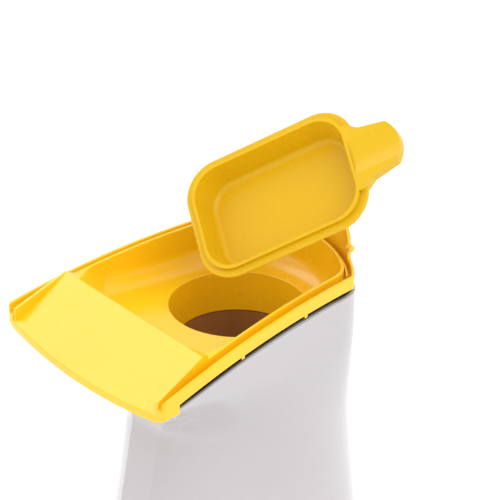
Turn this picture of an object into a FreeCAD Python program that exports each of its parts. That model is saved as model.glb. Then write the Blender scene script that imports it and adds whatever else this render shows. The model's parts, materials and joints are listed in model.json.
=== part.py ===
"""Hot-air popcorn maker with a chute tray, a measuring scoop and all its inner works.

Everything is drawn about the popping chamber: its axis is X = Y = 0, the chute points to -Y
and Z = 0 is the table. One offset at the end moves the lot to the middle of its bounding box.
"""
import FreeCAD, Part
import math
import os
import re
import Sketcher
from FreeCAD import Placement, Rotation, Vector

os.makedirs("parts", exist_ok=True)
doc = FreeCAD.newDocument("popcorn_maker")

# ------------------------------------------------------------------ driving dimensions, mm
DIMENSIONS = {
    "axis_x": -0.65, "axis_y": 20.3,
    # base, feet and housing column
    "foot_radius": 9.0, "foot_height": 5.0, "foot_x": 44.0, "foot_front": -64.0, "foot_rear": 58.0,
    "skirt_bottom": 3.5, "floor_bottom": 5.0, "floor_thick": 3.0, "wall": 2.8,
    "waist_radius": 77.8, "waist_height": 165.0, "foot_flare": 17.5, "column_shift": 2.0,
    "spine_half": 15.0, "spine_waist": -79.5, "spine_slope": 0.178, "chin_height": 176.0,
    "column_front": -121.0, "brim_proud": 0.7, "rim_step": 1.1, "rim_height": 2.2,
    "boss_reach": 86.0, "boss_radius": 5.5, "boss_height": 22.0,
    # chute tray: plan and side view
    "front_half": 89.8, "middle_half": 77.3, "rear_half": 67.2,
    "front_y": -132.5, "middle_y": -27.0, "rear_y": 50.0,
    "front_rail": 245.0, "middle_rail": 267.2, "rear_rail": 272.6,
    "rear_reach": 75.0, "rear_radius": 100.0, "rail_corner": 7.0, "rib_corner": 22.0,
    "rail_thick": 2.3, "rib_inset": 7.1, "rib_thick": 2.2, "rib_rise": 1.2, "groove_depth": 6.5,
    "skirt_depth": 9.3, "gap": 2.3, "lip_bow": 6.6, "lip_thick": 4.6,
    "block_rear": -118.8, "block_bottom": 233.0, "rib_front": 243.4, "seat_rib_inset": 4.7,
    "crease_y": -91.8, "crease_height": 261.9, "ramp_foot": 234.5, "shell": 2.5,
    "bowl_floor": 238.9, "bowl_front": -68.0, "bowl_blend": 14.0,
    "hole_radius": 48.4, "throat_radius": 43.0, "throat_bottom": 211.0,
    "back_half": 46.0, "back_height": 293.0, "tab_front": -60.0, "tab_rear": 0.5,
    # popping chamber, heater and duct
    "chamber_radius": 42.6, "chamber_wall": 0.8, "chamber_bottom": 118.0, "chamber_top": 210.0,
    "flange_radius": 65.0, "duct_radius": 60.0, "duct_wall": 0.8, "duct_bottom": 81.0,
    "louvre_low": 124.0, "louvre_high": 141.0, "louvre_width": 3.0, "louvre_count": 20.0,
    "mica_thick": 1.2, "mica_half": 46.5, "mica_top": 110.0, "coil_radius": 38.0, "coil_thick": 2.2,
    # fan and motor
    "shroud_radius": 48.0, "shroud_wall": 2.0, "bracket_low": 50.0, "bracket_thick": 3.0,
    "fan_radius": 42.0, "fan_low": 58.0, "fan_high": 76.0, "hub_radius": 9.0, "fan_blades": 9.0,
    "motor_radius": 18.0, "motor_low": 14.0, "shaft_radius": 1.6, "post_reach": 56.0,
    # scoop, in its own frame: +X along the handle, +Z out of its mouth
    "scoop_long": 129.0, "scoop_wide": 91.0, "scoop_corner": 26.0, "scoop_depth": 24.0,
    "scoop_wall": 2.0, "scoop_rim": 5.2, "scoop_step": 3.0, "handle_reach": 95.0,
    "handle_root": 19.5, "handle_tip": 15.4, "handle_depth": 8.0,
    "scoop_x": 28.4, "scoop_y": 8.1, "scoop_z": 333.3,
    # cord inlet
    "gland_height": 24.0, "gland_face": 96.0, "gland_bore": 3.6, "gland_radius": 6.0,
}
sheet = doc.addObject("Spreadsheet::Sheet", "dims")
for row, (alias, value) in enumerate(DIMENSIONS.items(), start=1):
    sheet.set(f"A{row}", alias)
    sheet.set(f"B{row}", str(value))
    sheet.setAlias(f"B{row}", alias)
doc.recompute()


def dim(alias):
    """The value of one cell of the sheet."""
    return float(sheet.get(alias))


def bound(text):
    """An expression in the sheet's aliases, as FreeCAD writes it."""
    return re.sub(r"\b([a-z]\w*)", r"dims.\1", text)


def number(text):
    """What an expression in the sheet's aliases is worth now."""
    return float(sheet.evalExpression(bound(text)))


OFFSET = Vector(dim("axis_x"), dim("axis_y"), 0)
parts = []


def keep(part, label):
    """Name a finished sub-part and put it in the assembly's frame."""
    part.Label = label
    part.Placement = Placement(OFFSET, Rotation()).multiply(part.Placement)
    parts.append(part)
    return part


def feature(label, shape):
    """A sub-part whose shape was worked out with Part's functions."""
    part = doc.addObject("Part::Feature", label)
    part.Shape = shape
    return keep(part, label)


# ------------------------------------------------------------------ PartDesign helpers
def new_body(label):
    body = doc.addObject("PartDesign::Body", label)
    body.Label = label
    return body


def polygon_sketch(body, name, role, points, lift=None):
    """A closed outline whose every coordinate is an expression of the sheet."""
    sketch = body.newObject("Sketcher::SketchObject", name)
    plane = next(item for item in body.Origin.OriginFeatures if item.Role == role)
    sketch.AttachmentSupport = [(plane, "")]
    sketch.MapMode = "FlatFace"
    if lift:
        sketch.setExpression("AttachmentOffset.Base.z", bound(lift))
    values = [Vector(number(x), number(y), 0) for x, y in points]
    for start, end in zip(values, values[1:] + values[:1]):
        sketch.addGeometry(Part.LineSegment(start, end))
    count = len(points)
    for index in range(count):
        sketch.addConstraint(Sketcher.Constraint("Coincident", index, 2, (index + 1) % count, 1))
    for index, pair in enumerate(points):
        for kind, text in zip(("DistanceX", "DistanceY"), pair):
            pin(sketch, kind, (index, 1), text)
    return sketch


def pin(sketch, kind, point, text):
    """Hold one coordinate of a sketch point at an expression of the sheet."""
    value = number(text)
    if abs(value) < 1e-9:
        axis = -2 if kind == "DistanceX" else -1
        sketch.addConstraint(Sketcher.Constraint("PointOnObject", *point, axis))
        return
    row = sketch.addConstraint(Sketcher.Constraint(kind, -1, 1, *point, value))
    sketch.setExpression(f"Constraints[{row}]", bound(text))


def turned(label, points):
    """A body turned about the chamber axis from a half section in the XZ plane."""
    body = new_body(label)
    sketch = polygon_sketch(body, label + "_section", "XZ_Plane", points)
    turn = body.newObject("PartDesign::Revolution", label + "_turn")
    turn.Profile = sketch
    turn.ReferenceAxis = (sketch, ["V_Axis"])
    turn.Angle = 360
    return body


def padded(body, name, sketch, length):
    pad = body.newObject("PartDesign::Pad", name)
    pad.Profile = sketch
    pad.setExpression("Length", bound(length))
    return pad


def pocketed(body, name, sketch, length, both=False):
    """Cut a sketch out of the body, upwards from its plane or both ways."""
    pocket = body.newObject("PartDesign::Pocket", name)
    pocket.Profile = sketch
    pocket.Reversed = True
    pocket.Midplane = both
    pocket.setExpression("Length", bound(length))
    return pocket


def ringed(body, name, feature_to_copy, count):
    """Repeat a feature round the chamber axis."""
    axis = next(item for item in body.Origin.OriginFeatures if item.Role == "Z_Axis")
    pattern = body.newObject("PartDesign::PolarPattern", name)
    pattern.Originals = [feature_to_copy]
    pattern.Axis = (axis, [""])
    pattern.Angle = 360
    pattern.setExpression("Occurrences", bound(count))
    body.Tip = pattern
    return pattern



# ------------------------------------------------------------------ plain shape helpers
def prism(wire, low, high):
    """A closed wire drawn at Z = 0, pulled up from one height to another."""
    face = Part.Face(wire)
    face.translate(Vector(0, 0, low))
    return face.extrude(Vector(0, 0, high - low))


def tube(outer, inner, low, high, centre=(0, 0)):
    x, y = centre
    base = Vector(x, y, low)
    return Part.makeCylinder(outer, high - low, base).cut(Part.makeCylinder(inner, high - low, base))


def side_slab(points, half_width=150):
    """A side view in the YZ plane, pulled across the whole width."""
    wire = Part.makePolygon([Vector(-half_width, y, z) for y, z in points + points[:1]])
    return Part.Face(wire).extrude(Vector(2 * half_width, 0, 0))


def circle_through(first, second, third):
    arc = Part.Arc(Vector(*first, 0), Vector(*second, 0), Vector(*third, 0)).toShape()
    return arc.Curve.Center, arc.Curve.Radius


def front_slab(points, near, far):
    """A front view in the XZ plane, pulled along Y."""
    wire = Part.makePolygon([Vector(x, near, z) for x, z in points + points[:1]])
    return Part.Face(wire).extrude(Vector(0, far - near, 0))


def mirrored(shape):
    return shape.mirror(Vector(0, 0, 0), Vector(1, 0, 0))


# ------------------------------------------------------------------ the tray's plan and side view
RAIL_SIDE = circle_through(
    (dim("front_half"), dim("front_y")),
    (dim("middle_half"), dim("middle_y")),
    (dim("rear_half"), dim("rear_y")),
)
RAIL_TOP = circle_through(
    (dim("front_y"), dim("front_rail")),
    (dim("middle_y"), dim("middle_rail")),
    (dim("rear_y"), dim("rear_rail")),
)
OPEN_FRONT = -170.0


def rail_height(y):
    """Height of the outer rail's top edge, an arc in side view."""
    centre, radius = RAIL_TOP
    return centre.y + math.sqrt(radius ** 2 - (y - centre.x) ** 2)


def rail_half(y, inset=0.0):
    """Half width of the tray's outline, an arc in plan."""
    centre, radius = RAIL_SIDE
    return centre.x + math.sqrt((radius - inset) ** 2 - (y - centre.y) ** 2)


def tray_outline(inset, corner, bow=None):
    """The tray's outline moved inwards. It runs on past the front unless the lip's bow is given."""
    side_centre, side_radius = RAIL_SIDE[0], RAIL_SIDE[1] - inset
    rear_centre = Vector(0, dim("rear_reach") - dim("rear_radius"), 0)
    rear_radius = dim("rear_radius") - inset
    # the corner arc touches the side arc and the rear arc from inside
    apart = rear_centre - side_centre
    from_side = side_radius - corner
    from_rear = rear_radius - corner
    along = (from_side ** 2 - from_rear ** 2 + apart.Length ** 2) / (2 * apart.Length)
    across = math.sqrt(from_side ** 2 - along ** 2)
    unit = Vector(apart).normalize()
    corner_centre = side_centre + unit * along + Vector(-unit.y, unit.x, 0) * across
    on_side = side_centre + (corner_centre - side_centre).normalize() * side_radius
    on_rear = rear_centre + (corner_centre - rear_centre).normalize() * rear_radius
    middle = ((on_side + on_rear) * 0.5 - corner_centre).normalize() * corner + corner_centre
    front_y = OPEN_FRONT if bow is None else dim("front_y")
    front = Vector(rail_half(front_y, inset), front_y, 0)
    halfway = Vector(rail_half((front_y + on_side.y) / 2, inset), (front_y + on_side.y) / 2, 0)
    flip = lambda point: Vector(-point.x, point.y, 0)
    rear_top = rear_centre + Vector(0, rear_radius, 0)
    edges = [
        Part.Arc(front, halfway, on_side),
        Part.Arc(on_side, middle, on_rear),
        Part.Arc(on_rear, rear_top, flip(on_rear)),
        Part.Arc(flip(on_rear), flip(middle), flip(on_side)),
        Part.Arc(flip(on_side), flip(halfway), flip(front)),
    ]
    if bow is None:
        edges.append(Part.LineSegment(flip(front), front))
    else:
        edges.append(Part.Arc(flip(front), Vector(0, front_y - bow, 0), front))
    return Part.Wire([edge.toShape() for edge in edges])


def rail_band(low, high):
    """Everything between two copies of the rail's side view, moved down and up."""
    ends = (OPEN_FRONT, dim("middle_y"), 100.0)
    lower = [Vector(-150, y, rail_height(y) + low) for y in ends]
    upper = [Vector(-150, y, rail_height(y) + high) for y in ends]
    edges = [
        Part.Arc(*lower).toShape(),
        Part.makeLine(lower[2], upper[2]),
        Part.Arc(*upper).toShape(),
        Part.makeLine(upper[0], lower[0]),
    ]
    face = Part.Face(Part.Wire(Part.__sortEdges__(edges)))
    return face.extrude(Vector(300, 0, 0))


def ring_between(outer_inset, inner_inset, outer_corner, inner_corner):
    """The wall between two outlines of the tray, open at the front, for all heights."""
    outer = prism(tray_outline(outer_inset, outer_corner), 150, 350)
    return outer.cut(prism(tray_outline(inner_inset, inner_corner), 150, 350))


# ------------------------------------------------------------------ housing column
CROSS_POINTS = 18


def round_point(height, part_way):
    """A point of the round column's right half, from the front crease (0) to the rear (1)."""
    drop = max(0.0, dim("waist_height") - height) / dim("waist_height")
    radius = dim("waist_radius") + dim("foot_flare") * drop ** 1.5
    crease = spine_point(height)
    centre = Vector(0, dim("column_shift"), 0)
    start = math.atan2(crease.y - centre.y, crease.x)
    angle = start + (math.pi / 2 - start) * part_way
    reach = (crease - centre).Length
    # the crease stands proud of the circle and fades into it over the front quarter
    fade = max(0.0, 1 - part_way / 0.3) ** 2
    distance = radius + (reach - radius) * fade
    return centre + Vector(math.cos(angle), math.sin(angle), 0) * distance


def spine_point(height):
    """The crease beside the column's front spine."""
    below = max(0.0, dim("chin_height") - height)
    return Vector(dim("spine_half"), dim("spine_waist") - dim("spine_slope") * below, 0)


def brim_points():
    """Even points along the right half of the tray's outline, behind the column's front corner."""
    outline = tray_outline(-dim("brim_proud"), dim("rail_corner") + 4)
    side, corner, rear = outline.OrderedEdges[:3]
    trimmed = Part.Wire([side, corner, rear]).discretize(Distance=1.0)
    half = [p for p in trimmed if p.x > 0 and p.y > dim("column_front")]
    path = Part.makePolygon(half + [Vector(0, dim("rear_reach") + dim("brim_proud"), 0)])
    return path.discretize(CROSS_POINTS + 1)


def cross_section(height, inset=0.0):
    """The column's closed outline at a height, moved towards the axis by the inset."""
    rise = (height - dim("waist_height")) / (242.0 - dim("waist_height"))
    rise = min(1.0, max(0.0, rise))
    blend = rise * rise * (3 - 2 * rise)
    right = []
    for step, brim in enumerate(BRIM):
        point = round_point(height, step / CROSS_POINTS) * (1 - blend) + brim * blend
        point = point * (1 - inset / point.Length)
        right.append(Vector(point.x, point.y, height))
    right[-1].x = 0
    left = [Vector(-point.x, point.y, height) for point in reversed(right[:-1])]
    side = Part.BSplineCurve()
    side.interpolate(right + left)
    return Part.Wire([side.toShape(), Part.makeLine(left[-1], right[0])])


BRIM = brim_points()


COLUMN_TOP = 285.0
COLUMN_STEPS = 22


def column(inset):
    """The column's solid, lofted through its outlines."""
    low = dim("skirt_bottom")
    heights = [low + (COLUMN_TOP - low) * step / COLUMN_STEPS for step in range(COLUMN_STEPS + 1)]
    return Part.makeLoft([cross_section(z, inset) for z in heights], True)


def front_block(grown):
    """The space of the tray's two corner blocks, and of their clearance when grown."""
    rear, bottom = dim("block_rear") + grown, dim("block_bottom") - grown
    ring = prism(tray_outline(-3 * grown, dim("rail_corner"), dim("lip_bow") + grown), 150, 350).cut(
        prism(tray_outline(14 + grown, dim("rib_corner")), 150, 350))
    return ring.common(side_slab([(rear, bottom), (rear, 350), (-150, 350), (-150, bottom)]))


def make_housing():
    rim_top = -dim("skirt_depth") - dim("gap")
    outer = column(0)
    inner = column(dim("wall"))
    under = rail_band(-400, rim_top)
    # the top edge is stepped back, and notched where the tray's corner blocks come down
    rim = outer.cut(column(dim("rim_step"))).common(rail_band(rim_top - dim("rim_height"), 60))
    notch = front_block(0.3).fuse(rim)
    inlet = Vector(0, dim("gland_face") - 14, dim("gland_height"))
    pad = Part.makeCylinder(dim("gland_radius") + 3.5, 14, inlet, Vector(0, 1, 0))
    shell = outer.fuse(pad).cut(inner).common(under).cut(notch)
    floor_top = dim("floor_bottom") + dim("floor_thick")
    for angle in (45, 135, 225, 315):
        direction = Vector(math.cos(math.radians(angle)), math.sin(math.radians(angle)), 0)
        foot = direction * dim("boss_reach") + Vector(0, 0, floor_top)
        boss = Part.makeCylinder(dim("boss_radius"), dim("boss_height"), foot).common(outer)
        shell = shell.fuse(boss).cut(Part.makeCylinder(1.5, 16, foot))
    bore = Part.makeCylinder(dim("gland_radius"), 30, inlet - Vector(0, 8, 0), Vector(0, 1, 0))
    return shell.cut(bore).removeSplitter()


INSIDE_COLUMN = column(dim("wall") + 0.4)
feature("housing", make_housing())


def make_base_plate():
    low = dim("floor_bottom")
    high = low + dim("floor_thick")
    wire = cross_section(low, dim("wall") + 0.6)
    wire.translate(Vector(0, 0, -low))
    plate = prism(wire, low, high)
    for angle in (90, 210, 330):
        x = dim("post_reach") * math.cos(math.radians(angle))
        y = dim("post_reach") * math.sin(math.radians(angle))
        post = Part.makeCylinder(5, dim("bracket_low") - high, Vector(x, y, high))
        plate = plate.fuse(post).cut(Part.makeCylinder(1.5, 14, Vector(x, y, dim("bracket_low") - 14)))
    for x, y in board_corners():
        plate = plate.fuse(Part.makeCylinder(2.5, 4, Vector(x, y, high)))
    # intake slots: two rings of radial slots under the motor
    for count, near, far in ((18, 14, 24), (30, 28, 38)):
        slot = Part.makeBox(far - near, 2.6, dim("floor_thick") + 2, Vector(near, -1.3, low - 1))
        for step in range(count):
            turned_slot = slot.copy()
            turned_slot.rotate(Vector(0, 0, 0), Vector(0, 0, 1), 360 * step / count)
            plate = plate.cut(turned_slot)
    for angle in (45, 135, 225, 315):
        x = dim("boss_reach") * math.cos(math.radians(angle))
        y = dim("boss_reach") * math.sin(math.radians(angle))
        plate = plate.cut(Part.makeCylinder(1.9, 10, Vector(x, y, low - 1)))
    return plate


BOARD_HALF = (16.0, 9.0)
BOARD_CENTRE = (0.0, -58.0)


def board_corners():
    """Where the rectifier board stands on its four stubs."""
    reach_x, reach_y = BOARD_HALF[0] - 3, BOARD_HALF[1] - 3
    x, y = BOARD_CENTRE
    return [(x + i * reach_x, y + j * reach_y) for i in (-1, 1) for j in (-1, 1)]


feature("base_plate", make_base_plate())

FEET = {
    "foot_front_left": ("0 - foot_x", "foot_front"),
    "foot_front_right": ("foot_x", "foot_front"),
    "foot_rear_left": ("0 - foot_x", "foot_rear"),
    "foot_rear_right": ("foot_x", "foot_rear"),
}
for foot_name, foot_place in FEET.items():
    section = [
        ("0", "0"), ("foot_radius - 1.5", "0"), ("foot_radius", "1.5"),
        ("foot_radius", "foot_height"), ("0", "foot_height"),
    ]
    foot = turned(foot_name, section)
    foot.Placement = Placement(Vector(number(foot_place[0]), number(foot_place[1]), 0), Rotation())
    keep(foot, foot_name)


# ------------------------------------------------------------------ chute tray
# front view of the space the tray keeps to: the lip's ends curve up to the corner blocks
LIP_FRONT_VIEW = [
    (-84, 200), (84, 200), (84, 229.8), (87.6, 231), (89.9, 233), (95, 233), (95, 350),
    (-95, 350), (-95, 233), (-89.9, 233), (-87.6, 231), (-84, 229.8),
]


def make_tray():
    rail = dim("rail_thick")
    rib_out = dim("rib_inset")
    rib_in = rib_out + dim("rib_thick")
    corner, rib_corner = dim("rail_corner"), dim("rib_corner")
    skirt, gap, lip = dim("skirt_depth"), dim("gap"), dim("lip_thick")
    crease_y, crease_z = dim("crease_y"), dim("crease_height")
    front_y = dim("front_y")
    slope = (crease_z - dim("ramp_foot")) / (crease_y - front_y)
    lip_y = front_y - 20
    lip_z = dim("ramp_foot") - 20 * slope
    whole = prism(tray_outline(0, corner, dim("lip_bow")), 150, 350)
    whole = whole.makeFillet(2.5, [edge for edge in whole.Edges
                                   if edge.BoundBox.ZLength > 199 and edge.BoundBox.YMax < front_y + 1])
    whole = whole.common(front_slab(LIP_FRONT_VIEW, -160, 100))
    inside_rib = prism(tray_outline(rib_out, rib_corner), 150, 350)
    inside = prism(tray_outline(rib_in, rib_corner), 150, 350)

    # rails, groove and rear part of the inner rib
    body = whole.common(rail_band(-skirt, 0))
    rib_rear = inside_rib.common(rail_band(-skirt, dim("rib_rise"))).common(
        side_slab([(crease_y, 150), (100, 150), (100, 350), (crease_y, 350)]))
    body = body.fuse(rib_rear)
    # the corner blocks at the front reach down over the column's top edge, and the lip meets them
    slab = side_slab([(lip_y, lip_z), (-120, crease_z - (crease_y + 120) * slope),
                      (-120, crease_z - (crease_y + 120) * slope - lip), (lip_y, lip_z - lip)])
    block = front_block(0).common(whole).common(rail_band(-40, -2))
    body = body.fuse([block, slab.common(whole)])
    body = body.cut(ring_between(rail, rib_out, corner - rail, rib_corner).common(
        rail_band(-dim("groove_depth"), 60)))
    # everything inside the rib is cleared, then the ramp and the bowl are put in
    body = body.cut(inside)
    body = body.cut(inside_rib.common(side_slab([
        (crease_y + 4, 350), (crease_y + 4, 150), (-200, 150), (-200, 350)])))
    ramp_top = [(lip_y, lip_z), (crease_y, crease_z)]
    ramp_back = [(crease_y + 6, crease_z - 4), (crease_y + 6, 246), (crease_y, crease_z - 7)]
    ramp = side_slab(ramp_top + ramp_back + [(lip_y, lip_z - lip)]).common(whole).common(inside_rib)
    rib_front = ring_between(rib_out, rib_in, rib_corner, rib_corner).common(side_slab([
        (front_y, dim("rib_front")), (crease_y, crease_z), (crease_y + 4, 258),
        (crease_y + 4, 200), (front_y, 200)])).common(whole)
    over_ramp = rib_front.common(side_slab([
        (crease_y + 4, 350), (crease_y + 4, 254.5), (front_y, dim("ramp_foot") - lip), (front_y, 350)]))
    body = body.fuse([ramp, over_ramp, rib_front.common(rail_band(-skirt, 60))])

    # bowl: a blended hollow between the crease and the rear rib, and its throat
    cavity = bowl_hollow(inside, 0)
    bowl = bowl_hollow(inside_rib, dim("shell"))
    behind_crease = inside.common(side_slab([
        (crease_y - 4, 200), (crease_y - 4, crease_z - 3), (crease_y, crease_z),
        (crease_y + 3.1, crease_z - 1.5), (crease_y + 30, crease_z - 11.8), (crease_y + 30, 200)]))
    bowl = bowl.common(rail_band(-80, dim("rib_rise")).fuse(behind_crease))
    throat = Part.makeCone(
        dim("throat_radius") + dim("shell"), dim("hole_radius") + dim("shell"),
        dim("bowl_floor") - dim("throat_bottom"), Vector(0, 0, dim("throat_bottom")))
    body = body.fuse([bowl, throat]).cut(cavity)
    funnel = Part.makeCone(
        dim("throat_radius"), dim("hole_radius"),
        dim("bowl_floor") - dim("throat_bottom"), Vector(0, 0, dim("throat_bottom")))
    body = body.cut(funnel)

    # locating wall inside the column, seat tabs, raised back with its lugs
    wall = ring_between(6.4, 8.4, 4, rib_corner).common(rail_band(-skirt - 8, -skirt + 0.5))
    wall = wall.common(side_slab([(-112, 150), (-112, 350), (100, 350), (100, 150)]))
    wall = wall.common(INSIDE_COLUMN)
    back = ring_between(0, 2.6, corner, corner - 2.6).common(raised_back())
    seat = ring_between(dim("seat_rib_inset"), dim("seat_rib_inset") + 1.3, 16, 14.7).common(
        rail_band(-dim("groove_depth") - 1, -2.5)).common(
        side_slab([(48, 150), (48, 350), (100, 350), (100, 150)]))
    extras = [wall, back, seat]
    for y in (dim("tab_front"), dim("tab_rear")):
        tab = Part.makeBox(3.8, 2.6, 40, Vector(rail_half(y) - 3.2, y - 1.3, rail_height(y) - 40))
        tab = tab.common(whole).common(rail_band(-skirt - gap + 0.4, -skirt + 0.5))
        extras += [tab, mirrored(tab)]
    lug_y = dim("rear_reach") - 12.0
    lug = Part.makeCylinder(2.4, 4.6, Vector(dim("back_half") - 3, lug_y, 281), Vector(1, 0, 0))
    extras += [lug, mirrored(lug)]
    body = body.fuse(extras).cut(crease_shaving()).removeSplitter()
    body = softened(body, on_rail_top, 0.7)
    body = softened(body, on_hole_rim, 0.8)
    body = softened(body, on_rib_outside, 0.6)
    return softened(body, on_lip_top, 1.2)


def softened(body, test, radius):
    """Round the edges whose points pass the test."""
    edges = [edge for edge in body.Edges if edge.Length > 0.3 and test(edge.discretize(7))]
    return body.makeFillet(radius, edges)


def on_rail_top(points):
    return max(abs(p.z - rail_height(p.y)) for p in points) < 0.06


def on_hole_rim(points):
    return (max(abs(p.z - dim("bowl_floor")) for p in points) < 0.05
            and abs(math.hypot(points[0].x, points[0].y) - dim("hole_radius")) < 0.2)


def on_rib_outside(points):
    """The long outer edge of the inner rib's top, behind the ramp."""
    if max(abs(p.z - rail_height(p.y) - dim("rib_rise")) for p in points) > 0.06:
        return False
    across = max(abs(p.x) for p in points)
    rear = max(p.y for p in points)
    return rear > -60 and (across > 61.5 or (across > 52 and rear > 67))


def on_lip_top(points):
    return (max(p.y for p in points) < dim("front_y") + 1.5 and min(p.z for p in points) > 228.5
            and max(p.z for p in points) < 235 and abs(points[0].x - points[-1].x) > 100)


def crease_shaving(radius=5.0):
    """What a rounding of the crease takes off between the ramp and the bowl's slope."""
    crease = Vector(0, dim("crease_y"), dim("crease_height"))
    ramp = (crease - Vector(0, dim("front_y"), dim("ramp_foot"))).normalize()
    slope_top = crease + Vector(0, 0, 0.5)
    slope = (Vector(0, dim("bowl_front"), dim("bowl_floor")) - slope_top).normalize()
    # the apex is where the ramp's line and the slope's line meet
    run = (ramp.z * (slope_top.y - crease.y) - ramp.y * (slope_top.z - crease.z)) / (
        ramp.y * slope.z - ramp.z * slope.y)
    apex = slope_top + slope * run
    turn = ramp.getAngle(slope)
    reach = radius * math.tan(turn / 2)
    down = (slope - ramp).normalize()
    middle = apex + down * (radius / math.cos(turn / 2) - radius)
    first, last = apex - ramp * reach, apex + slope * reach
    above = apex + Vector(0, 0, 3)
    wire = Part.Wire([
        Part.Arc(first, middle, last).toShape(), Part.makeLine(last, above), Part.makeLine(above, first)])
    face = Part.Face(wire)
    face.translate(Vector(-79, 0, 0))
    return face.extrude(Vector(158, 0, 0))


def bowl_hollow(walls, grown):
    """The bowl's hollow, or its outside when grown, with blended lower edges."""
    low = dim("bowl_floor") - grown
    crease_y, crease_z = dim("crease_y"), dim("crease_height")
    front = dim("bowl_front") - grown
    view = side_slab([(crease_y - grown, crease_z + 0.5), (front, low), (90, low), (90, 330),
                      (crease_y - grown, 330)])
    hollow = walls.common(view)
    blend = dim("bowl_blend") + grown
    rounds = []
    for edge in hollow.Edges:
        box = edge.BoundBox
        # the outside keeps its corners beside the slope, so that they stay solid
        on_floor = box.ZMax < low + 0.5 and not (box.XLength > 60 and box.YLength < 1)
        on_slope = (box.ZMin < low + 0.5 and box.ZMax > crease_z - 2 and box.YMax < front + 1
                    and box.XLength < 20)
        if on_floor or (on_slope and not grown):
            rounds.append(edge)
    return hollow.makeFillet(blend, rounds)


def raised_back():
    """The back wall's front view, a low arch, pulled along Y."""
    half, high, low = dim("back_half"), dim("back_height"), dim("rear_rail") - 8
    points = [(-half, low), (half, low), (half - 2, high - 5), (half - 7, high), (7 - half, high),
              (2 - half, high - 5)]
    return front_slab(points, 40, 100)


feature("chute_tray", make_tray())


def make_seal():
    """The black strip that closes the gap between the column and the tray."""
    skirt, gap = dim("skirt_depth"), dim("gap")
    ring = ring_between(3.6, 5.8, 4, 8).common(rail_band(-skirt - gap - 7, -skirt - 0.4))
    ring = ring.common(side_slab([(-114, 150), (-114, 350), (100, 350), (100, 150)]))
    return ring.common(INSIDE_COLUMN)


feature("top_seal", make_seal())


# ------------------------------------------------------------------ popping chamber and heater
chamber = turned("popping_chamber", [
    ("0", "chamber_bottom"),
    ("chamber_radius + chamber_wall", "chamber_bottom"),
    ("chamber_radius + chamber_wall", "chamber_top - chamber_wall"),
    ("flange_radius", "chamber_top - chamber_wall"),
    ("flange_radius", "chamber_top"),
    ("chamber_radius", "chamber_top"),
    ("chamber_radius", "chamber_bottom + chamber_wall"),
    ("12", "chamber_bottom + chamber_wall"),
    ("0", "chamber_bottom + chamber_wall + 5"),
])
slot_corners = [
    ("0 - louvre_width / 2", "0 - chamber_radius - 3"), ("louvre_width / 2", "0 - chamber_radius - 3"),
    ("louvre_width / 2", "0 - chamber_radius + 3"), ("0 - louvre_width / 2", "0 - chamber_radius + 3"),
]
louvre_sketch = polygon_sketch(chamber, "louvre_outline", "XY_Plane", slot_corners, lift="louvre_low")
doc.recompute()
louvre = pocketed(chamber, "louvre", louvre_sketch, "louvre_high - louvre_low")
ringed(chamber, "louvres", louvre, "louvre_count")
keep(chamber, "popping_chamber")

keep(turned("air_duct", [
    ("duct_radius - duct_wall", "duct_bottom"),
    ("duct_radius", "duct_bottom"),
    ("duct_radius", "chamber_top - 2 * chamber_wall"),
    ("flange_radius", "chamber_top - 2 * chamber_wall"),
    ("flange_radius", "chamber_top - chamber_wall"),
    ("duct_radius - duct_wall", "chamber_top - chamber_wall"),
]), "air_duct")
keep(turned("insulation_wrap", [
    ("duct_radius", "duct_bottom + 20"), ("duct_radius + 1.2", "duct_bottom + 20"),
    ("duct_radius + 1.2", "chamber_top - 34"), ("duct_radius", "chamber_top - 34"),
]), "insulation_wrap")

COIL_HEIGHTS = (88.0, 95.0, 102.0)


def coil_turns(thick):
    """The heater wire's turns as rings of the coil's outer thickness."""
    rings = []
    for radius in (dim("coil_radius"), dim("coil_radius") - 14):
        for height in COIL_HEIGHTS:
            rings.append(Part.makeTorus(radius, thick, Vector(0, 0, height)))
    return rings


def mica_card(angle, slot_low, slot_high):
    """One of two cards that cross on the axis and carry the coil in notches."""
    thick = dim("mica_thick")
    low, high = dim("duct_bottom"), dim("mica_top")
    card = Part.makeBox(2 * dim("mica_half"), thick, high - low,
                        Vector(-dim("mica_half"), -thick / 2, low))
    middle = thick / 2 + 0.1
    card = card.cut(Part.makeBox(2 * middle, 4, slot_high - slot_low, Vector(-middle, -2, slot_low)))
    card.rotate(Vector(0, 0, 0), Vector(0, 0, 1), angle)
    return card.cut(coil_turns(dim("coil_thick") + 0.2))


mica_middle = (dim("duct_bottom") + dim("mica_top")) / 2
feature("heater_card_front", mica_card(0, dim("duct_bottom") - 1, mica_middle))
feature("heater_card_side", mica_card(90, mica_middle, dim("mica_top") + 1))


def make_coil():
    """Two rows of turns, joined by straight drops of the wire."""
    rings = coil_turns(dim("coil_thick"))
    low, high = COIL_HEIGHTS[0], COIL_HEIGHTS[-1]
    reach = dim("coil_radius")
    drops = []
    for radius in (reach, reach - 14):
        at = Vector(radius, 0, low)
        at = Rotation(Vector(0, 0, 1), 45).multVec(at)
        drops.append(Part.makeCylinder(1.2, high - low, at))
    inner = Rotation(Vector(0, 0, 1), 45).multVec(Vector(reach - 14, 0, low))
    outward = Rotation(Vector(0, 0, 1), 45).multVec(Vector(1, 0, 0))
    drops.append(Part.makeCylinder(1.2, 14, inner, outward))
    return rings[0].fuse(rings[1:] + drops)


feature("heater_coil", make_coil())

thermostat = doc.addObject("Part::Cylinder", "thermostat")
thermostat.setExpression("Radius", bound("8"))
thermostat.setExpression("Height", bound("6.5"))
thermostat.Placement = Placement(
    Vector(0, dim("duct_radius") - 0.0, 188), Rotation(Vector(1, 0, 0), -90))
keep(thermostat, "thermostat")


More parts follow.
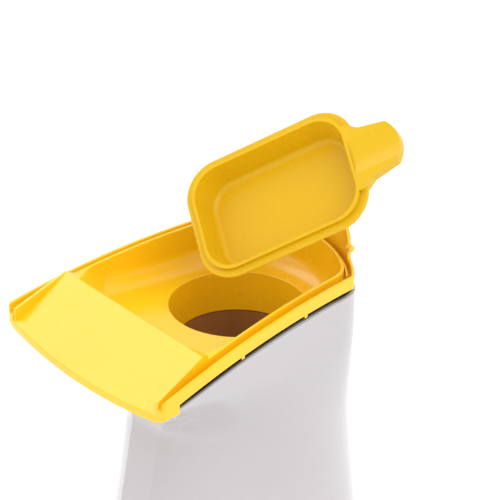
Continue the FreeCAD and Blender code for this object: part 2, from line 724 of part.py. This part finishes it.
def make_fuse():
    """The thermal fuse in a clip on the duct's side."""
    low = 186.0
    clip = tube(dim("duct_radius") + 1.2, dim("duct_radius"), low - 2, low + 10)
    wedge = Part.makeBox(20, 14, 30, Vector(dim("duct_radius") - 8, -7, low - 6))
    clip = clip.common(wedge)
    capsule = Part.makeCylinder(2.2, 15, Vector(dim("duct_radius") + 3, 0, low - 3.5))
    leads = Part.makeCylinder(0.5, 27, Vector(dim("duct_radius") + 3, 0, low - 9.5))
    fuse = clip.fuse([capsule, leads])
    fuse.rotate(Vector(0, 0, 0), Vector(0, 0, 1), 150)
    return fuse


feature("thermal_fuse", make_fuse())

# ------------------------------------------------------------------ fan, motor and their carriers
keep(turned("fan_shroud", [
    ("shroud_radius - shroud_wall", "bracket_low + bracket_thick"),
    ("shroud_radius", "bracket_low + bracket_thick"),
    ("shroud_radius", "duct_bottom - 2"),
    ("duct_radius + 3", "duct_bottom - 2"),
    ("duct_radius + 3", "duct_bottom"),
    ("shroud_radius - shroud_wall", "duct_bottom"),
]), "fan_shroud")


def make_bracket():
    low, thick = dim("bracket_low"), dim("bracket_thick")
    plate = Part.makeCylinder(24, thick, Vector(0, 0, low))
    for angle in (90, 210, 330):
        arm = Part.makeBox(dim("post_reach"), 10, thick, Vector(0, -5, low))
        arm = arm.fuse(Part.makeCylinder(5, thick, Vector(dim("post_reach"), 0, low)))
        arm = arm.cut(Part.makeCylinder(1.8, 10, Vector(dim("post_reach"), 0, low - 2)))
        arm.rotate(Vector(0, 0, 0), Vector(0, 0, 1), angle)
        plate = plate.fuse(arm)
    plate = plate.cut(Part.makeCylinder(4, 10, Vector(0, 0, low - 2)))
    for side in (-1, 1):
        plate = plate.cut(Part.makeCylinder(1.6, 10, Vector(10 * side, 0, low - 2)))
    return plate.removeSplitter()


feature("motor_bracket", make_bracket())

motor = turned("motor_can", [
    ("0", "motor_low + 3"), ("motor_radius", "motor_low + 3"),
    ("motor_radius", "bracket_low - 1"), ("motor_radius - 1", "bracket_low"),
    ("3.6", "bracket_low"), ("3.6", "bracket_low - 4"), ("0", "bracket_low - 4"),
])
keep(motor, "motor_can")
keep(turned("motor_end_cap", [
    ("0", "motor_low - 2"), ("5", "motor_low - 2"), ("5", "motor_low"),
    ("motor_radius - 1", "motor_low"), ("motor_radius - 1", "motor_low + 3"), ("0", "motor_low + 3"),
]), "motor_end_cap")
keep(turned("shaft_bush", [
    ("shaft_radius + 0.05", "bracket_low - 4"), ("3.6", "bracket_low - 4"),
    ("3.6", "bracket_low + 1"), ("shaft_radius + 0.05", "bracket_low + 1"),
]), "shaft_bush")
keep(turned("motor_shaft", [
    ("0", "bracket_low - 3.7"), ("shaft_radius", "bracket_low - 3.7"),
    ("shaft_radius", "fan_high + 3"), ("0", "fan_high + 3"),
]), "motor_shaft")

fan = turned("fan_impeller", [
    ("shaft_radius", "fan_low"), ("fan_radius", "fan_low"), ("fan_radius", "fan_low + 1.5"),
    ("hub_radius", "fan_low + 1.5"), ("hub_radius - 1", "fan_high"), ("shaft_radius", "fan_high"),
])
blade_sketch = polygon_sketch(fan, "blade_outline", "XY_Plane", [
    ("hub_radius - 2", "0 - 1"), ("fan_radius - 9", "3"), ("fan_radius - 1", "12"),
    ("fan_radius - 2", "13"), ("fan_radius - 10", "5"), ("hub_radius - 2", "1"),
], lift="fan_low + 1")
blade = padded(fan, "blade", blade_sketch, "fan_high - fan_low - 1")
ringed(fan, "blades", blade, "fan_blades")
keep(fan, "fan_impeller")


def screw(x, y, head_low, length, radius=1.4, head=3.0, down=True):
    """A pan-head screw. Its head sits at head_low and its shank points down, or up."""
    sign = -1 if down else 1
    shank = Part.makeCylinder(radius, length, Vector(x, y, head_low), Vector(0, 0, sign))
    cap_low = head_low if down else head_low - 2
    cap = Part.makeCylinder(head, 2, Vector(x, y, cap_low))
    recess_low = head_low + 1 if down else head_low - 2.1
    cross = Part.makeBox(3.4, 0.8, 1.1, Vector(x - 1.7, y - 0.4, recess_low))
    cross = cross.fuse(Part.makeBox(0.8, 3.4, 1.1, Vector(x - 0.4, y - 1.7, recess_low)))
    return shank.fuse(cap).cut(cross)


def round_the_axis(reach, angles):
    return [(reach * math.cos(math.radians(a)), reach * math.sin(math.radians(a))) for a in angles]


feature("base_screws", Part.makeCompound([
    screw(x, y, dim("floor_bottom"), 15, down=False)
    for x, y in round_the_axis(dim("boss_reach"), (45, 135, 225, 315))]))
feature("bracket_screws", Part.makeCompound([
    screw(x, y, dim("bracket_low") + dim("bracket_thick"), 12)
    for x, y in round_the_axis(dim("post_reach"), (90, 210, 330))]))
feature("motor_screws", Part.makeCompound([
    screw(x, 0, dim("bracket_low") + dim("bracket_thick"), 2.9, radius=1.2, head=2.4)
    for x in (-10, 10)]))


def make_board():
    x, y = BOARD_CENTRE
    high = dim("floor_bottom") + dim("floor_thick") + 4
    half_x, half_y = BOARD_HALF
    board = Part.makeBox(2 * half_x, 2 * half_y, 1.6, Vector(x - half_x, y - half_y, high))
    for step in range(4):
        place = Vector(x - 9 + 6 * step, y - 3, high + 1.6 + 1.4)
        diode = Part.makeCylinder(1.5, 6, place, Vector(0, 1, 0))
        board = board.fuse(diode)
    return board


feature("rectifier_board", make_board())


def make_gland():
    face, height = dim("gland_face"), dim("gland_height")
    radius = dim("gland_radius")
    collar = Part.makeCylinder(radius + 2.4, 2.5, Vector(0, face, height), Vector(0, 1, 0))
    neck = Part.makeCylinder(radius - 0.05, 13, Vector(0, face - 13, height), Vector(0, 1, 0))
    bore = Part.makeCylinder(dim("gland_bore"), 30, Vector(0, face - 20, height), Vector(0, 1, 0))
    return collar.fuse(neck).cut(bore)


feature("cord_gland", make_gland())


# ------------------------------------------------------------------ measuring scoop
def rounded_box_wire(half_long, half_wide, corner, height):
    """A rounded rectangle about the scoop's own axis."""
    x, y = half_long - corner, half_wide - corner
    turn = corner * math.sqrt(0.5)
    edges = []
    for sx, sy in ((1, 1), (-1, 1), (-1, -1), (1, -1)):
        first = Vector(sx * half_long, sy * y, height)
        middle = Vector(sx * (x + turn), sy * (y + turn), height)
        last = Vector(sx * x, sy * half_wide, height)
        if sx * sy < 0:
            first, last = last, first
        if edges:
            edges.append(Part.makeLine(edges[-1].lastVertex().Point, first))
        edges.append(Part.Arc(first, middle, last).toShape())
    edges.append(Part.makeLine(edges[-1].lastVertex().Point, edges[0].firstVertex().Point))
    return Part.Wire(edges)


def make_scoop():
    half_long, half_wide = dim("scoop_long") / 2, dim("scoop_wide") / 2
    corner, depth, wall = dim("scoop_corner"), dim("scoop_depth"), dim("scoop_wall")
    rim, step = dim("scoop_rim"), dim("scoop_step")
    taper = 4.0

    def cup(shrink, low, high):
        top = rounded_box_wire(half_long - rim - shrink, half_wide - rim - shrink, corner - rim, high)
        bottom = rounded_box_wire(half_long - rim - shrink - taper, half_wide - rim - shrink - taper,
                                  corner - rim - 1, low)
        return Part.makeLoft([bottom, top], True, True)

    outside = cup(0, -depth, 0)
    lower = [edge for edge in outside.Edges if edge.BoundBox.ZMax < 0.1 - depth]
    outside = outside.makeFillet(6, lower)
    inside = cup(wall, wall - depth, 0.5)
    lower = [edge for edge in inside.Edges if edge.BoundBox.ZMax < wall + 0.1 - depth]
    inside = inside.makeFillet(4.5, lower)
    # the flange runs round the cup a step below its rim
    flange = prism(rounded_box_wire(half_long, half_wide, corner, 0), -step - 2.6, -step)
    flange = flange.makeFillet(1.1, [edge for edge in flange.Edges
                                     if abs(edge.BoundBox.ZMax - edge.BoundBox.ZMin) < 0.1])
    near = half_long - rim - 1
    handle = prism(handle_outline(near, 0), -dim("handle_depth"), 0)
    hollow = Part.makeCylinder(60, 200, Vector(near - 20, 0, 58.6), Vector(1, 0, 0))
    under = prism(handle_outline(half_long + 1, wall), -dim("handle_depth") - 1, -3.4)
    handle = handle.cut([hollow, under])
    return outside.fuse([flange, handle]).cut(inside).removeSplitter()


def handle_outline(near, inset):
    """The handle's plan, flared where it leaves the flange and bowed at its end."""
    reach = dim("handle_reach") - inset
    root, tip = dim("handle_root") - inset, dim("handle_tip") - inset
    edge = dim("scoop_long") / 2
    half = [Vector(near, root + 6, 0), Vector(max(near, edge - 3), root + 6, 0),
            Vector(edge + 5, root, 0), Vector(reach - 6, tip, 0)]
    if near > edge - 3:
        half = [Vector(near, root, 0), half[2], half[3]]
    other = [Vector(point.x, -point.y, 0) for point in reversed(half)]
    edges = [Part.makeLine(first, last) for first, last in zip(half, half[1:])]
    edges.append(Part.Arc(half[-1], Vector(reach, 0, 0), other[0]).toShape())
    edges += [Part.makeLine(first, last) for first, last in zip(other, other[1:])]
    edges.append(Part.makeLine(other[-1], half[0]))
    return Part.Wire(edges)


HANDLE_WAY = Vector(0.606, 0.627, 0.492).normalize()
MOUTH_WAY = Vector(0.184, -0.711, 0.679).normalize()
scoop = doc.addObject("Part::Feature", "scoop")
scoop.Shape = make_scoop()
scoop.Placement = Placement(
    Vector(dim("scoop_x"), dim("scoop_y"), dim("scoop_z")),
    Rotation(HANDLE_WAY, Vector(0, 0, 0), MOUTH_WAY, "XZY"))
keep(scoop, "scoop")

# ------------------------------------------------------------------ checks, then the files
doc.recompute()
for part in parts:
    if "Invalid" in part.State or "Error" in part.State:
        raise RuntimeError(f"{part.Label} did not recompute: {part.State}")
    if part.Shape.isNull() or not part.Shape.isValid():
        raise RuntimeError(f"{part.Label} has no valid shape")
for part in parts:
    part.Shape.exportStep(f"parts/{part.Label}.step")
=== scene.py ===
import bpy
import json
import math
from mathutils import Matrix, Vector

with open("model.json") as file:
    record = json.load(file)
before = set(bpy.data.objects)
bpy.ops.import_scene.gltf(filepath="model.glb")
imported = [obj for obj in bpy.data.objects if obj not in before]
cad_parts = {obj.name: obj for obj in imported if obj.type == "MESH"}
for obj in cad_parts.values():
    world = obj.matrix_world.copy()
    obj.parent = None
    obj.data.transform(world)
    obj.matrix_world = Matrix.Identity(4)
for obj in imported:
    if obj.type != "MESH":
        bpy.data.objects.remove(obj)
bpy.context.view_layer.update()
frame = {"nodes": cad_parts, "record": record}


# ---------------------------------------------------------------- materials
REFRACTIVE_INDEX = 1.5
COAT_ROUGHNESS = 0.08
EVEN = (1, 1, 1)


class Shade:
    """A node material in the making: one Principled shader and the textures that vary it."""

    def __init__(self, name, metallic=0.0, coat=0.0, specular=0.5):
        self.material = bpy.data.materials.new(name)
        self.material.use_nodes = True
        self.tree = self.material.node_tree
        self.shader = self.tree.nodes["Principled BSDF"]
        self.shader.inputs["Metallic"].default_value = metallic
        self.shader.inputs["IOR"].default_value = REFRACTIVE_INDEX
        self.shader.inputs["Specular IOR Level"].default_value = specular
        self.shader.inputs["Coat Weight"].default_value = coat
        self.shader.inputs["Coat Roughness"].default_value = COAT_ROUGHNESS
        self.place = self.tree.nodes.new("ShaderNodeTexCoord").outputs["Object"]

    def node(self, kind, **inputs):
        """Add a node. Each input is a value to set or a socket to link from."""
        made = self.tree.nodes.new(kind)
        for key, value in inputs.items():
            socket = made.inputs[key.replace("_", " ")]
            if isinstance(value, bpy.types.NodeSocket):
                self.tree.links.new(value, socket)
            else:
                socket.default_value = value
        return made

    def noise(self, scale, detail, squeeze=EVEN):
        """Noise over the piece itself. Squeeze packs it closer along an axis."""
        place = self.place
        if squeeze != EVEN:
            place = self.node("ShaderNodeMapping", Vector=place, Scale=squeeze).outputs["Vector"]
        made = self.node("ShaderNodeTexNoise", Vector=place, Scale=scale, Detail=detail)
        return made.outputs["Fac"]

    def spread(self, source, low, high):
        """Spread the middle of the source's range, from 0.3 to 0.7, over low to high."""
        made = self.node("ShaderNodeMapRange", Value=source, From_Min=0.3, From_Max=0.7,
                         To_Min=low, To_Max=high)
        return made.outputs["Result"]

    def colours(self, source, *stops):
        """Base colour from a ramp of (position, colour) stops."""
        ramp = self.node("ShaderNodeValToRGB", Fac=source)
        while len(ramp.color_ramp.elements) < len(stops):
            ramp.color_ramp.elements.new(0.5)
        for element, (position, colour) in zip(ramp.color_ramp.elements, stops):
            element.position = position
            element.color = (*colour, 1)
        self.tree.links.new(ramp.outputs["Color"], self.shader.inputs["Base Color"])
        return ramp.outputs["Color"]

    def rough(self, source, low, high):
        self.tree.links.new(self.spread(source, low, high), self.shader.inputs["Roughness"])

    def bumps(self, *layers):
        """Each layer is (height source, strength, distance in metres)."""
        before = None
        for source, strength, distance in layers:
            made = self.node("ShaderNodeBump", Height=source, Strength=strength, Distance=distance)
            if before is not None:
                self.tree.links.new(before, made.inputs["Normal"])
            before = made.outputs["Normal"]
        self.tree.links.new(before, self.shader.inputs["Normal"])


def shaded(colour, amount):
    """The colour made darker, or lighter with an amount over 1."""
    return tuple(min(1.0, c * amount) for c in colour)


def gloss_plastic(name, colour, rough, coat, orange_peel, painted_shade=None, specular=0.5):
    """Glossy injection moulding: faint flow marks in colour and a slight orange-peel skin.

    A second, near-black colour, if given, is painted shade: it is painted above the arc of the
    recess under the tray, where the tray's skirt shades the housing's step.
    """
    made = Shade(name, coat=coat, specular=specular)
    flow = made.noise(9, 2, (1, 1, 2.4))
    plain = made.colours(flow, (0.25, shaded(colour, 0.965)), (0.75, shaded(colour, 1.03)))
    # painted shade over the recess under the tray
    if painted_shade:
        both = made.node("ShaderNodeMixRGB", Fac=painted_shade_area(made),
                         Color1=plain, Color2=(*painted_shade, 1))
        made.tree.links.new(both.outputs["Color"], made.shader.inputs["Base Color"])
    made.rough(made.noise(130, 4), *rough)
    made.bumps((made.noise(420, 2), orange_peel, 0.0002),
               (made.noise(60, 2), orange_peel, 0.0004))
    return made.material


def painted_shade_area(made):
    """1 above the recess's arc in side view, 0 below it: the area of painted shade."""
    side_view = made.node("ShaderNodeVectorMath")
    side_view.operation = "MULTIPLY"
    made.tree.links.new(made.place, side_view.inputs[0])
    side_view.inputs[1].default_value = (0, 1, 1)
    reach = made.node("ShaderNodeVectorMath")
    reach.operation = "DISTANCE"
    made.tree.links.new(side_view.outputs["Vector"], reach.inputs[0])
    reach.inputs[1].default_value = RECESS_CENTRE
    above = made.node("ShaderNodeMath")
    above.operation = "GREATER_THAN"
    made.tree.links.new(reach.outputs["Value"], above.inputs[0])
    above.inputs[1].default_value = RECESS_RADIUS
    return above.outputs["Value"]


def matt_plastic(name, colour, rough=(0.45, 0.6)):
    """Moulding with a spark-eroded texture."""
    made = Shade(name)
    made.colours(made.noise(14, 3), (0.3, shaded(colour, 0.93)), (0.7, shaded(colour, 1.06)))
    made.rough(made.noise(90, 4), *rough)
    made.bumps((made.noise(1600, 3), 0.25, 0.0002), (made.noise(45, 2), 0.06, 0.0005))
    return made.material


def rubber(name, colour):
    """Dull moulded rubber with a dusty grain."""
    made = Shade(name, specular=0.35)
    made.colours(made.noise(60, 4), (0.3, shaded(colour, 0.8)), (0.75, shaded(colour, 1.5)))
    made.rough(made.noise(200, 3), 0.6, 0.8)
    made.bumps((made.noise(2200, 2), 0.35, 0.0002), (made.noise(150, 3), 0.1, 0.0004))
    return made.material


def sheet_metal(name, colour, rough=(0.22, 0.36), squeeze=(1, 1, 30), tint=None):
    """Metal whose marks run across the axis they are squeezed along. With EVEN they run no way."""
    made = Shade(name, metallic=1.0)
    streaks = made.noise(260, 4, squeeze)
    made.colours(made.noise(22, 4), (0.25, shaded(colour, 0.86)),
                 (0.75, tint or shaded(colour, 1.08)))
    made.rough(streaks, *rough)
    made.bumps((streaks, 0.12, 0.0001), (made.noise(70, 3), 0.08, 0.0006))
    return made.material


def chamber_coating(name):
    """Brown coated metal, satin and slightly mottled."""
    made = Shade(name, metallic=0.2)
    made.colours(made.noise(34, 5), (0.25, (0.38, 0.19, 0.07)), (0.55, (0.46, 0.235, 0.09)),
                 (0.8, (0.53, 0.28, 0.115)))
    made.rough(made.noise(180, 4), 0.3, 0.44)
    made.bumps((made.noise(900, 3), 0.18, 0.00015), (made.noise(60, 2), 0.06, 0.0006))
    return made.material


def mica(name, colour, flakes_per_metre=420.0):
    """Split mica board, or pressed mica paper, with flakes that catch the light."""
    made = Shade(name, specular=0.6)
    flakes = made.node("ShaderNodeTexVoronoi", Vector=made.place, Scale=flakes_per_metre)
    flakes = flakes.outputs["Distance"]
    made.colours(flakes, (0.05, shaded(colour, 1.1)), (0.5, shaded(colour, 0.78)))
    made.rough(flakes, 0.25, 0.6)
    made.bumps((flakes, 0.2, 0.0002), (made.noise(120, 3), 0.1, 0.0004))
    return made.material


YELLOW = (0.94, 0.57, 0.006)
WHITE = (0.515, 0.49, 0.503)
# near-black painted shade for the housing's step under the tray
PAINTED_RECESS_SHADE = (0.045, 0.04, 0.04)
# how dark the scoop's copy of the yellow is: painted shade, as the scoop is the same plastic as
# the tray
SCOOP_PAINTED_SHADE = 0.78

# Under the tray the housing steps in along an arc in side view, and above that arc it is painted
# dark: painted shade for the shadow under the tray's skirt.
# Centre, of which x is not used, and radius in metres.
RECESS_CENTRE = (0, 0.07886, -0.41501)
RECESS_RADIUS = 0.67456

# material slot: its maker and the maker's settings
RECIPES = {
    # the white shell wears the painted recess shade
    "white_shell": (gloss_plastic, WHITE, (0.1, 0.17), 0.4, 0.03, PAINTED_RECESS_SHADE),
    "yellow_plastic": (gloss_plastic, YELLOW, (0.24, 0.28), 0.2, 0.03),
    "base_plastic": (matt_plastic, (0.72, 0.71, 0.7)),
    "foot_rubber": (rubber, (0.03, 0.03, 0.031)),
    "seal_rubber": (rubber, (0.012, 0.011, 0.01)),
    "chamber_coating": (chamber_coating,),
    "duct_metal": (sheet_metal, (0.62, 0.62, 0.62)),
    "insulation_board": (mica, (0.66, 0.6, 0.46), 900.0),
    "mica": (mica, (0.6, 0.53, 0.37)),
    "heater_wire": (sheet_metal, (0.3, 0.25, 0.22), (0.4, 0.6), EVEN, (0.42, 0.4, 0.44)),
    "sensor_metal": (sheet_metal, (0.72, 0.72, 0.73), (0.3, 0.42), EVEN),
    "carrier_plastic": (matt_plastic, (0.03, 0.03, 0.032), (0.4, 0.55)),
    "carrier_metal": (sheet_metal, (0.58, 0.6, 0.62), (0.25, 0.4), (1, 24, 1)),
    "motor_metal": (sheet_metal, (0.6, 0.6, 0.6), (0.18, 0.3), (1, 1, 26)),
    "motor_plastic": (matt_plastic, (0.025, 0.025, 0.028), (0.35, 0.5)),
    "bush_brass": (sheet_metal, (0.62, 0.42, 0.16), (0.3, 0.45), EVEN),
    "shaft_metal": (sheet_metal, (0.66, 0.66, 0.67), (0.12, 0.22), (30, 30, 1)),
    "fan_plastic": (matt_plastic, (0.045, 0.045, 0.048), (0.35, 0.5)),
    "screw_metal": (sheet_metal, (0.62, 0.63, 0.66), (0.2, 0.34), EVEN),
    "board_plastic": (matt_plastic, (0.3, 0.16, 0.05), (0.45, 0.6)),
    "gland_plastic": (matt_plastic, (0.74, 0.73, 0.72), (0.35, 0.5)),
}
MATERIALS = {slot: make(slot, *settings) for slot, (make, *settings) in RECIPES.items()}
SLOT_OF = {row["node"]: row["material_slot"] for row in frame["record"]["subparts"]}
for name, node in frame["nodes"].items():
    node.data.materials.clear()
    node.data.materials.append(MATERIALS[SLOT_OF[name]])
# The scoop is the tray's yellow plastic in a darker copy: painted shade.
frame["nodes"]["scoop"].data.materials[0] = gloss_plastic(
    "scoop_shaded_yellow", shaded(YELLOW, SCOOP_PAINTED_SHADE), (0.25, 0.29), 0.1, 0.02, specular=0.25)


# ---------------------------------------------------------------- stage
FLOOR_HALF = 14.0


def floor_material():
    """Near-white and matt."""
    made = Shade("floor")
    made.colours(made.noise(3, 2), (0.3, (0.97, 0.97, 0.97)), (0.7, (0.985, 0.985, 0.985)))
    made.rough(made.noise(40, 3), 0.6, 0.7)
    return made.material


def stage_floor():
    half = FLOOR_HALF
    corners = [(-half, -half, 0), (half, -half, 0), (half, half, 0), (-half, half, 0)]
    mesh = bpy.data.meshes.new("floor")
    mesh.from_pydata(corners, [], [(0, 1, 2, 3)])
    mesh.materials.append(floor_material())
    floor = bpy.data.objects.new("floor", mesh)
    bpy.context.scene.collection.objects.link(floor)


def softbox(name, place, size, watts):
    """A white rectangular lamp that faces the middle of the object."""
    lamp = bpy.data.lights.new(name, "AREA")
    lamp.shape = "RECTANGLE"
    lamp.size, lamp.size_y = size
    lamp.energy = watts
    made = bpy.data.objects.new(name, lamp)
    made.location = place
    made.rotation_euler = (MIDDLE - Vector(place)).to_track_quat("-Z", "Y").to_euler()
    bpy.context.scene.collection.objects.link(made)


MIDDLE = Vector((0.0, 0.0, 0.24))
WORLD_STRENGTH = 0.97
# name: place in metres, width and height in metres, watts
SOFTBOXES = {
    "key": ((1.25, -0.2, 1.9), (1.5, 1.3), 13),
    "sheen": ((-1.4, -0.5, 1.6), (1.2, 1.1), 7),
    "fill": ((-0.8, -1.6, 0.5), (1.1, 1.0), 2),
    "rim": ((0.5, 1.6, 1.3), (0.9, 0.9), 4),
}

stage_floor()
world = bpy.data.worlds.new("studio")
world.use_nodes = True
background = world.node_tree.nodes["Background"]
background.inputs["Color"].default_value = (1, 1, 1, 1)
background.inputs["Strength"].default_value = WORLD_STRENGTH
bpy.context.scene.world = world
for name, (place, size, watts) in SOFTBOXES.items():
    softbox(name, place, size, watts)
bpy.context.scene.view_settings.view_transform = "Standard"


# ---------------------------------------------------------------- camera
# It looks from beside and above at a pivot over the tray, with a long lens. Distances in metres.
PIVOT = Vector((-0.00065, -0.0197, 0.25))
TURN, RISE = math.radians(52.2687), math.radians(28.1837)
DISTANCE = 2.0
LENS, SENSOR_WIDTH = 208.8, 36
CLIP_END = 60
# how far beside and above the pivot the camera aims, as a share of the distance
AIM_RIGHT, AIM_UP = 0.019869, 0.01929

right = Vector((math.cos(TURN), math.sin(TURN), 0))
above = Vector((-math.sin(TURN) * math.sin(RISE), math.cos(TURN) * math.sin(RISE), math.cos(RISE)))
back = Vector((math.sin(TURN) * math.cos(RISE), -math.cos(TURN) * math.cos(RISE), math.sin(RISE)))
ahead = (-back + right * AIM_RIGHT + above * AIM_UP).normalized()
right = (right - ahead * right.dot(ahead)).normalized()
above = right.cross(ahead)
camera = bpy.data.objects.new("camera", bpy.data.cameras.new("camera"))
camera.data.lens = LENS
camera.data.sensor_width = SENSOR_WIDTH
camera.data.clip_end = CLIP_END
place = PIVOT + back * DISTANCE
camera.matrix_world = Matrix((
    (right.x, above.x, -ahead.x, place.x),
    (right.y, above.y, -ahead.y, place.y),
    (right.z, above.z, -ahead.z, place.z),
    (0, 0, 0, 1)))
bpy.context.scene.collection.objects.link(camera)
bpy.context.scene.camera = camera
